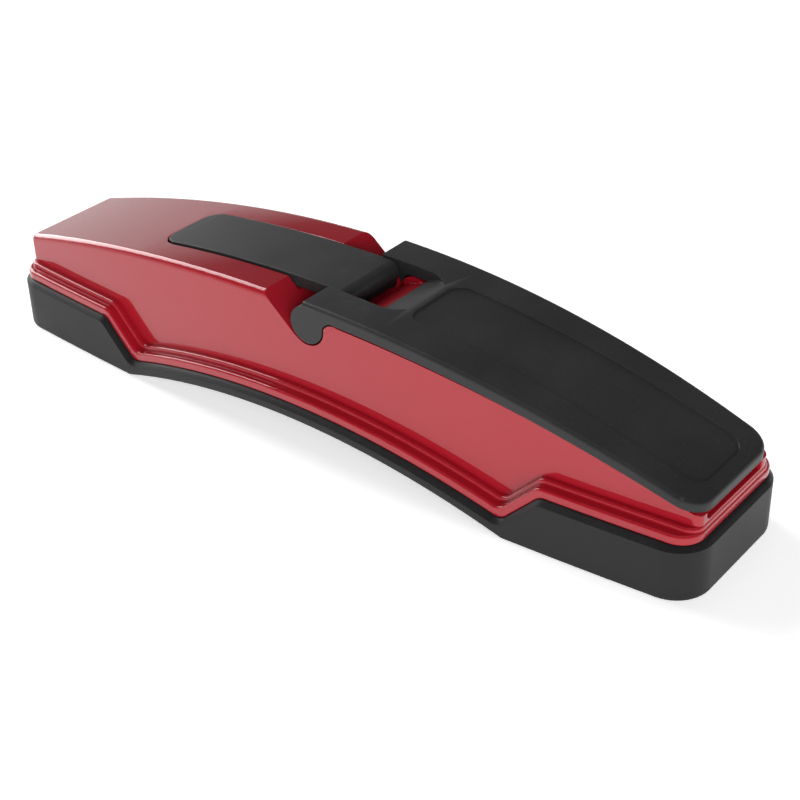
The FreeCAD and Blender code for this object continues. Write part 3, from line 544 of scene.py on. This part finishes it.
def moulded_black(finish, name, colour, roughness, scale, depth):
    """Black moulded plastic or rubber with a fine grain, edges made lighter for rubbing and as painted edge
    highlights, and a trace of dust.
    """
    material, tree, shader = new_material(name)
    grain = tree.use(group_of("grain"), **{"Scale": scale, "Patch Scale": 70.0})
    rub_and_highlight = tree.use(group_of("rub_and_highlight"), Amount=finish.rub_and_highlight, Scale=500.0)
    dust = tree.use(group_of("dust"), Amount=finish.dust)
    lighter = [min(1.0, part * 1.35 + 0.004) for part in colour]
    base = tree.mix(tree.remap(grain["Patch"], 0.3, 0.7, 0.0, 0.5), colour, lighter)
    # Edges lightened: partly rubbed wear, partly painted edge highlight.
    base = tree.mix(rub_and_highlight["Mask"], base, (0.09, 0.09, 0.092))
    base = tree.mix(dust["Mask"], base, (0.35, 0.34, 0.33))
    tree.link(base, shader["Base Color"])
    rough = tree.remap(grain["Patch"], 0.3, 0.7, roughness - 0.04, roughness + 0.05)
    rough = tree.math("SUBTRACT", rough, tree.math("MULTIPLY", rub_and_highlight["Mask"], 0.15))
    tree.link(rough, shader["Roughness"])
    shader["Specular IOR Level"].default_value = 0.32
    tree.link(tree.bump(grain["Height"], depth, 0.6), shader["Normal"])
    return material


def metal(name, colour, roughness, scale=4000.0, depth=0.000004):
    """Bare or plated metal with fine lines and a patchy tone."""
    material, tree, shader = new_material(name)
    lines = tree.use(group_of("brushed"), Scale=scale)
    darker = [part * 0.72 for part in colour]
    tone = tree.remap(lines["Tone"], 0.35, 0.7, 0.0, 0.6)
    tree.link(tree.mix(tone, colour, darker), shader["Base Color"])
    tree.link(tree.remap(lines["Height"], 0.3, 0.7, roughness - 0.06, roughness + 0.08), shader["Roughness"])
    shader["Metallic"].default_value = 1.0
    tree.link(tree.bump(lines["Height"], depth, 0.5), shader["Normal"])
    return material


def nylon(finish):
    """Black nylon, a little uneven."""
    material, tree, shader = new_material("black_nylon")
    grain = tree.use(group_of("grain"), **{"Scale": 1500.0, "Patch Scale": 300.0})
    darker = [part * 0.8 for part in finish.nylon]
    tree.link(tree.mix(grain["Patch"], finish.nylon, darker), shader["Base Color"])
    tree.link(tree.remap(grain["Patch"], 0.3, 0.7, 0.38, 0.5), shader["Roughness"])
    shader["Subsurface Weight"].default_value = 0.1
    shader["Subsurface Scale"].default_value = 0.001
    tree.link(tree.bump(grain["Height"], 0.000006, 0.4), shader["Normal"])
    return material


def abrasive(finish):
    """Bonded abrasive grit: mixed grains with open pores."""
    material, tree, shader = new_material("bonded_grit")
    place = tree.place()
    cell = tree.add("ShaderNodeTexVoronoi")
    tree.link(place, cell.inputs["Vector"])
    cell.inputs["Scale"].default_value = 3500.0
    split = tree.add("ShaderNodeSeparateColor")
    tree.link(cell.outputs["Color"], split.inputs[0])
    pale = [min(1.0, part * 2.1) for part in finish.stone]
    dark = [part * 0.45 for part in finish.stone]
    base = tree.mix(tree.remap(split.outputs[0], 0.4, 1.0, 0.0, 1.0), finish.stone, pale)
    pores = tree.remap(tree.noise(place, 1800.0, 3.0), 0.55, 0.68, 0.0, 1.0)
    tree.link(tree.mix(pores, base, dark), shader["Base Color"])
    tree.link(tree.remap(split.outputs[1], 0.0, 1.0, 0.7, 0.95), shader["Roughness"])
    height = tree.math("SUBTRACT", cell.outputs["Distance"], tree.math("MULTIPLY", pores, 0.8))
    tree.link(tree.bump(height, 0.00006, 0.9), shader["Normal"])
    return material


def foam(finish):
    """Dark closed-cell foam rubber."""
    material, tree, shader = new_material("foam_rubber")
    grain = tree.use(group_of("grain"), **{"Scale": 1400.0, "Patch Scale": 150.0})
    base = tree.mix(grain["Patch"], (0.02, 0.02, 0.02), (0.05, 0.05, 0.052))
    tree.link(base, shader["Base Color"])
    tree.link(tree.remap(grain["Height"], 0.0, 1.0, 0.8, 0.95), shader["Roughness"])
    tree.link(tree.bump(grain["Height"], 0.00008, 0.8), shader["Normal"])
    return material


def floor_finish(stage):
    """Pale paper-like floor with a barely seen unevenness."""
    material, tree, shader = new_material("floor")
    darker = [part * 0.985 for part in stage.floor]
    tree.link(tree.mix(tree.noise(tree.place(), 8.0, 3.0), stage.floor, darker), shader["Base Color"])
    shader["Roughness"].default_value = 0.7
    shader["Specular IOR Level"].default_value = 0.2
    shader["Emission Color"].default_value = (1.0, 1.0, 1.0, 1.0)
    shader["Emission Strength"].default_value = stage.floor_glow
    return material


# ---------------------------------------------------------------- pieces


def rounded_piece(node, name, body, width, material):
    """A CAD node's shape with its sharp edges rounded, shown in the node's place."""
    piece = merged_copy(node, name)
    round_edges(piece, NODES[node], width)
    smooth_shading(piece)
    stand_for(piece, node, body, material)
    if not piece.data.polygons:
        raise RuntimeError(f"{name} came out empty")


class TUNER_OT_shell(Operator):
    """Red shell with softened edges under metallic lacquer."""

    bl_idname = "tuner.shell"
    bl_label = "Shell"

    def execute(self, context):
        """Build the shell."""
        finish = context.scene.tuner_finish
        width = context.scene.tuner_detail.shell_round
        rounded_piece("upper_shell", "shell_lacquered", "base", width, red_lacquer(finish))
        return {"FINISHED"}


class TUNER_OT_boot(Operator):
    """Rubber boot with softened edges."""

    bl_idname = "tuner.boot"
    bl_label = "Boot"

    def execute(self, context):
        """Build the boot."""
        finish = context.scene.tuner_finish
        width = context.scene.tuner_detail.boot_round
        rubber = moulded_black(finish, "boot_rubber", finish.rubber, 0.5, 1700.0, 0.00002)
        rounded_piece("rubber_boot", "boot_moulded", "base", width, rubber)
        return {"FINISHED"}


class TUNER_OT_levers(Operator):
    """Long lever and short arm with softened edges in satin black."""

    bl_idname = "tuner.levers"
    bl_label = "Lever and Arm"

    def execute(self, context):
        """Build the lever and the arm."""
        finish = context.scene.tuner_finish
        detail = context.scene.tuner_detail
        black = moulded_black(finish, "satin_black", finish.black, 0.42, 2600.0, 0.000014)
        rounded_piece("file_lever", "lever_moulded", "lever", detail.lever_round, black)
        rounded_piece("stone_arm", "arm_moulded", "arm", detail.arm_round, black)
        return {"FINISHED"}


def face_frame(node):
    """Middle of a flat plate's lower face and its lengthwise, crosswise and downward directions."""
    data = NODES[node].data
    facing_down = [face for face in data.polygons if face.normal.z < -0.9]
    lowest = max(facing_down, key=lambda face: face.area)
    down = lowest.normal.copy()
    across = Vector((0, 1, 0))
    along = across.cross(-down).normalized()
    points = [vertex.co for vertex in data.vertices if abs((vertex.co - lowest.center).dot(down)) < FACE_BAND]
    reach = [point.dot(along) for point in points]
    side = [point.y for point in points]
    depth = lowest.center.dot(down)
    middle = along * (max(reach) + min(reach)) / 2 + down * depth
    return middle, along, across, down, max(reach) - min(reach), max(side) - min(side)


def place_mesh(piece, middle, along, across, down):
    """Move a piece modelled flat at the origin, teeth up, onto a plate's lower face."""
    turn = Matrix((along, -across, down)).transposed().to_4x4()
    piece.data.transform(Matrix.Translation(middle) @ turn)


def trim(piece, point, normal):
    """Cut away what lies beyond a plane and close the cut."""
    make_active(piece)
    bpy.ops.object.mode_set(mode="EDIT")
    bpy.ops.mesh.select_all(action="SELECT")
    bpy.ops.mesh.bisect(plane_co=point, plane_no=normal, use_fill=True, clear_outer=True)
    bpy.ops.object.mode_set(mode="OBJECT")


def tooth_bar(detail, width, count):
    """One three-sided bar across the file, the first of a row of teeth centred on the origin."""
    deselect_all()
    bpy.ops.mesh.primitive_cylinder_add(
        vertices=3,
        radius=detail.tooth_pitch * TOOTH_SPREAD,
        depth=width * TOOTH_OVERRUN,
        location=(0, 0, 0),
        rotation=(math.radians(90), 0, 0),
    )
    bar = bpy.context.object
    bar.name = "file_teeth"
    bar.data.name = "file_teeth"
    bpy.ops.object.transform_apply(location=True, rotation=True, scale=True)
    heights = [vertex.co.z for vertex in bar.data.vertices]
    squeeze = (detail.tooth_height + TOOTH_ROOT) / (max(heights) - min(heights))
    bar.data.transform(Matrix.Diagonal((1, 1, squeeze, 1)))
    lift = detail.tooth_height - max(heights) * squeeze
    bar.data.transform(Matrix.Translation((-detail.tooth_pitch * count / 2, 0, lift)))
    return bar


def file_teeth(detail, material):
    """Rows of slanted teeth over the file's lower face, kept inside its outline."""
    middle, along, across, down, length, width = face_frame("edge_file")
    pitch = detail.tooth_pitch
    count = int(length / pitch) + 2 * int(width / pitch / 2)
    teeth = tooth_bar(detail, width, count)
    apply_modifier(
        teeth,
        "ARRAY",
        count=count,
        use_relative_offset=False,
        use_constant_offset=True,
        constant_offset_displace=(pitch, 0, 0),
    )
    teeth.data.transform(Matrix.Rotation(TOOTH_SLANT, 4, "Z"))
    for sign in (-1, 1):
        trim(teeth, (sign * (length / 2 - TOOTH_EDGE), 0, 0), (sign, 0, 0))
        trim(teeth, (0, sign * (width / 2 - TOOTH_EDGE), 0), (0, sign, 0))
    place_mesh(teeth, middle, along, across, down)
    teeth.data.materials.append(material)
    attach(teeth, "lever")
    if len(teeth.data.polygons) < count:
        raise RuntimeError("the file's teeth came out incomplete")


def loose_parts(piece):
    """The vertex places of each separate shell of a mesh."""
    links = {vertex.index: set() for vertex in piece.data.vertices}
    for edge in piece.data.edges:
        first, second = edge.vertices
        links[first].add(second)
        links[second].add(first)
    parts = []
    seen = set()
    for start in links:
        if start in seen:
            continue
        group, waiting = [], [start]
        seen.add(start)
        while waiting:
            here = waiting.pop()
            group.append(piece.data.vertices[here].co.copy())
            for other in links[here] - seen:
                seen.add(other)
                waiting.append(other)
        parts.append(group)
    return parts


def drive_cutter(points, turn, down, share):
    """The two crossed bars that cut the recess of one screw's head."""
    end = max(point.dot(down) for point in points)
    head = [point for point in points if end - point.dot(down) < HEAD_BAND]
    side = [point.y for point in head]
    radius = (max(side) - min(side)) / 2
    centre = sum(head, Vector()) / len(head)
    centre.y = (max(side) + min(side)) / 2
    bars = []
    for long, wide in ((DRIVE_LENGTH, DRIVE_WIDTH), (DRIVE_WIDTH, DRIVE_LENGTH)):
        deselect_all()
        bpy.ops.mesh.primitive_cube_add(size=1)
        bar = bpy.context.object
        size = (radius * long, radius * wide, radius * share * 2)
        bar.data.transform(Matrix.Translation(centre) @ turn @ Matrix.Diagonal((*size, 1)))
        bars.append(bar)
    return bars


def driven_screws(node, name, body, down, share, material):
    """Screws of one CAD node with a cross recess cut into each head."""
    piece = merged_copy(node, name)
    down = Vector(down).normalized()
    across = Vector((0, 1, 0))
    along = across.cross(-down).normalized()
    turn = Matrix((along, -across, down)).transposed().to_4x4()
    bars = [bar for points in loose_parts(piece) for bar in drive_cutter(points, turn, down, share)]
    for bar in bars:
        apply_modifier(piece, "BOOLEAN", object=bar, operation="DIFFERENCE", solver="EXACT")
        mesh = bar.data
        bpy.data.objects.remove(bar)
        bpy.data.meshes.remove(mesh)
    smooth_shading(piece)
    stand_for(piece, node, body, material)


class TUNER_OT_teeth(Operator):
    """Cut teeth on the lower face of the file."""

    bl_idname = "tuner.teeth"
    bl_label = "File Teeth"

    def execute(self, context):
        """Build the teeth."""
        steel = metal("tooth_steel", (0.34, 0.34, 0.36), 0.36, 2500.0, 0.00001)
        file_teeth(context.scene.tuner_detail, steel)
        return {"FINISHED"}


class TUNER_OT_screws(Operator):
    """Screws with a cross recess in each head."""

    bl_idname = "tuner.screws"
    bl_label = "Screws"

    def execute(self, context):
        """Build the screws."""
        finish = context.scene.tuner_finish
        share = context.scene.tuner_detail.drive_depth
        steel = metal("plated_steel", finish.steel, 0.32)
        file_down = face_frame("file_holder")[3]
        stone_down = face_frame("stone_holder")[3]
        driven_screws("frame_screws", "frame_screws_driven", "base", (0, 0, -1), share, steel)
        driven_screws("file_screws", "file_screws_driven", "lever", file_down, share * SMALL_DRIVE, steel)
        driven_screws("stone_screws", "stone_screws_driven", "arm", stone_down, share * SMALL_DRIVE, steel)
        return {"FINISHED"}


class TUNER_OT_inner(Operator):
    """Finishes of the CAD pieces that are shown as they are."""

    bl_idname = "tuner.inner"
    bl_label = "Inner Pieces"

    def execute(self, context):
        """Paint the pieces."""
        finish = context.scene.tuner_finish
        bronze = metal("sintered_bronze", finish.bronze, 0.45, 1200.0, 0.000008)
        aluminium = metal("anodised_aluminium", finish.aluminium, 0.38, 3000.0, 0.000004)
        frame_black = moulded_black(finish, "frame_black", finish.black, 0.55, 1500.0, 0.00002)
        foam_rubber = foam(finish)
        paints = {
            "base_frame": frame_black,
            "threaded_inserts": metal("insert_brass", finish.brass, 0.30),
            "hinge_pin": metal("ground_pin", finish.steel, 0.20, 6000.0, 0.000002),
            "friction_washers": nylon(finish),
            "lever_catch": metal("spring_sheet", finish.steel, 0.28),
            "lever_bushes": bronze,
            "arm_bush": bronze,
            "file_backing_pad": foam_rubber,
            "stone_backing_pad": foam_rubber,
            "file_holder": aluminium,
            "stone_holder": aluminium,
            "edge_file": metal("file_steel", (0.30, 0.30, 0.32), 0.42, 2500.0, 0.00001),
            "deburring_stone": abrasive(finish),
        }
        for node, material in paints.items():
            repaint(node, material)
        return {"FINISHED"}


# ---------------------------------------------------------------- stage and camera


def add_camera():
    """Camera at the studio viewpoint, turned a little about its own axis."""
    azimuth = math.radians(39.016)
    elevation = math.radians(32.401)
    roll = math.radians(-1.523)
    target = Vector((0.00615, 0.00442, 0.00189))
    distance = 0.31846
    back = Vector(
        (
            math.sin(azimuth) * math.cos(elevation),
            -math.cos(azimuth) * math.cos(elevation),
            math.sin(elevation),
        )
    )
    right = Vector((math.cos(azimuth), math.sin(azimuth), 0))
    up = back.cross(right)
    turned_right = right * math.cos(roll) + up * math.sin(roll)
    turned_up = up * math.cos(roll) - right * math.sin(roll)
    data = bpy.data.cameras.new("camera")
    data.lens = 73.05
    data.sensor_width = 36.0
    camera = bpy.data.objects.new("camera", data)
    bpy.context.scene.collection.objects.link(camera)
    turn = Matrix((turned_right, turned_up, back)).transposed().to_4x4()
    camera.matrix_world = Matrix.Translation(target + back * distance) @ turn
    bpy.context.scene.camera = camera


def add_light(name, place, size, power):
    """A square soft light that looks at the tool."""
    data = bpy.data.lights.new(name, "AREA")
    data.energy = power
    data.size = size
    light = bpy.data.objects.new(name, data)
    light.location = place
    light.rotation_euler = (-Vector(place)).to_track_quat("-Z", "Y").to_euler()
    bpy.context.scene.collection.objects.link(light)
    return light


def add_surround(stage):
    """A surround that is bright near the horizon and dimmer overhead."""
    world = bpy.data.worlds.new("surround")
    bpy.context.scene.world = world
    world.use_nodes = True
    tree = Tree(world.node_tree)
    background = world.node_tree.nodes["Background"]
    split = tree.add("ShaderNodeSeparateXYZ")
    tree.link(tree.add("ShaderNodeTexCoord").outputs["Generated"], split.inputs[0])
    strength = tree.remap(split.outputs["Z"], 0.22, 0.35, stage.horizon, stage.zenith)
    tree.link(strength, background.inputs["Strength"])
    background.inputs["Color"].default_value = (1.0, 1.0, 1.0, 1.0)


class TUNER_OT_stage(Operator):
    """Floor, soft lights, surround and camera."""

    bl_idname = "tuner.stage"
    bl_label = "Stage"

    def execute(self, context):
        """Build the stage."""
        stage = context.scene.tuner_stage
        deselect_all()
        bpy.ops.mesh.primitive_plane_add(size=6, location=(0, 0, -FLOOR_GAP))
        floor = context.object
        floor.name = "floor"
        floor.data.materials.append(floor_finish(stage))
        add_light("key", (0.0, 0.45, 1.5), 1.2, stage.key_power)
        add_light("left", (-1.25, 0.15, 0.75), 1.0, stage.left_power)
        front = add_light("front", (1.05, -1.15, 0.42), 1.3, stage.front_power)
        front.visible_glossy = False
        add_surround(stage)
        add_camera()
        context.scene.view_settings.view_transform = "Standard"
        return {"FINISHED"}


class TUNER_PT_panel(Panel):
    """Sidebar panel that lists the pieces and settings."""

    bl_idname = "TUNER_PT_panel"
    bl_label = "Tuning Tool"
    bl_space_type = "VIEW_3D"
    bl_region_type = "UI"
    bl_category = "Tuning Tool"

    def draw(self, context):
        """Draw the buttons and settings."""
        layout = self.layout
        for operator in OPERATORS:
            layout.operator(operator.bl_idname)
        for owner in (context.scene.tuner_finish, context.scene.tuner_detail, context.scene.tuner_stage):
            box = layout.box()
            for name in owner.bl_rna.properties.keys():
                if name not in ("rna_type", "name"):
                    box.prop(owner, name)


OPERATORS = (
    TUNER_OT_shell,
    TUNER_OT_boot,
    TUNER_OT_levers,
    TUNER_OT_teeth,
    TUNER_OT_screws,
    TUNER_OT_inner,
    TUNER_OT_stage,
)
SETTINGS = {
    "tuner_finish": TunerFinish,
    "tuner_detail": TunerDetail,
    "tuner_stage": TunerStage,
}


def register():
    """Register the classes and put the settings on the scene."""
    for made in (*SETTINGS.values(), *OPERATORS, TUNER_PT_panel):
        bpy.utils.register_class(made)
    for name, kind in SETTINGS.items():
        setattr(bpy.types.Scene, name, PointerProperty(type=kind))


def unregister():
    """Take the settings and classes away."""
    for name in SETTINGS:
        delattr(bpy.types.Scene, name)
    for made in reversed((*SETTINGS.values(), *OPERATORS, TUNER_PT_panel)):
        bpy.utils.unregister_class(made)


def main():
    """Build the looks of the tool in order."""
    register()
    bpy.ops.tuner.shell()
    bpy.ops.tuner.boot()
    bpy.ops.tuner.levers()
    bpy.ops.tuner.teeth()
    bpy.ops.tuner.screws()
    bpy.ops.tuner.inner()
    bpy.ops.tuner.stage()
    bpy.context.view_layer.update()


if __name__ == "__main__":
    main()
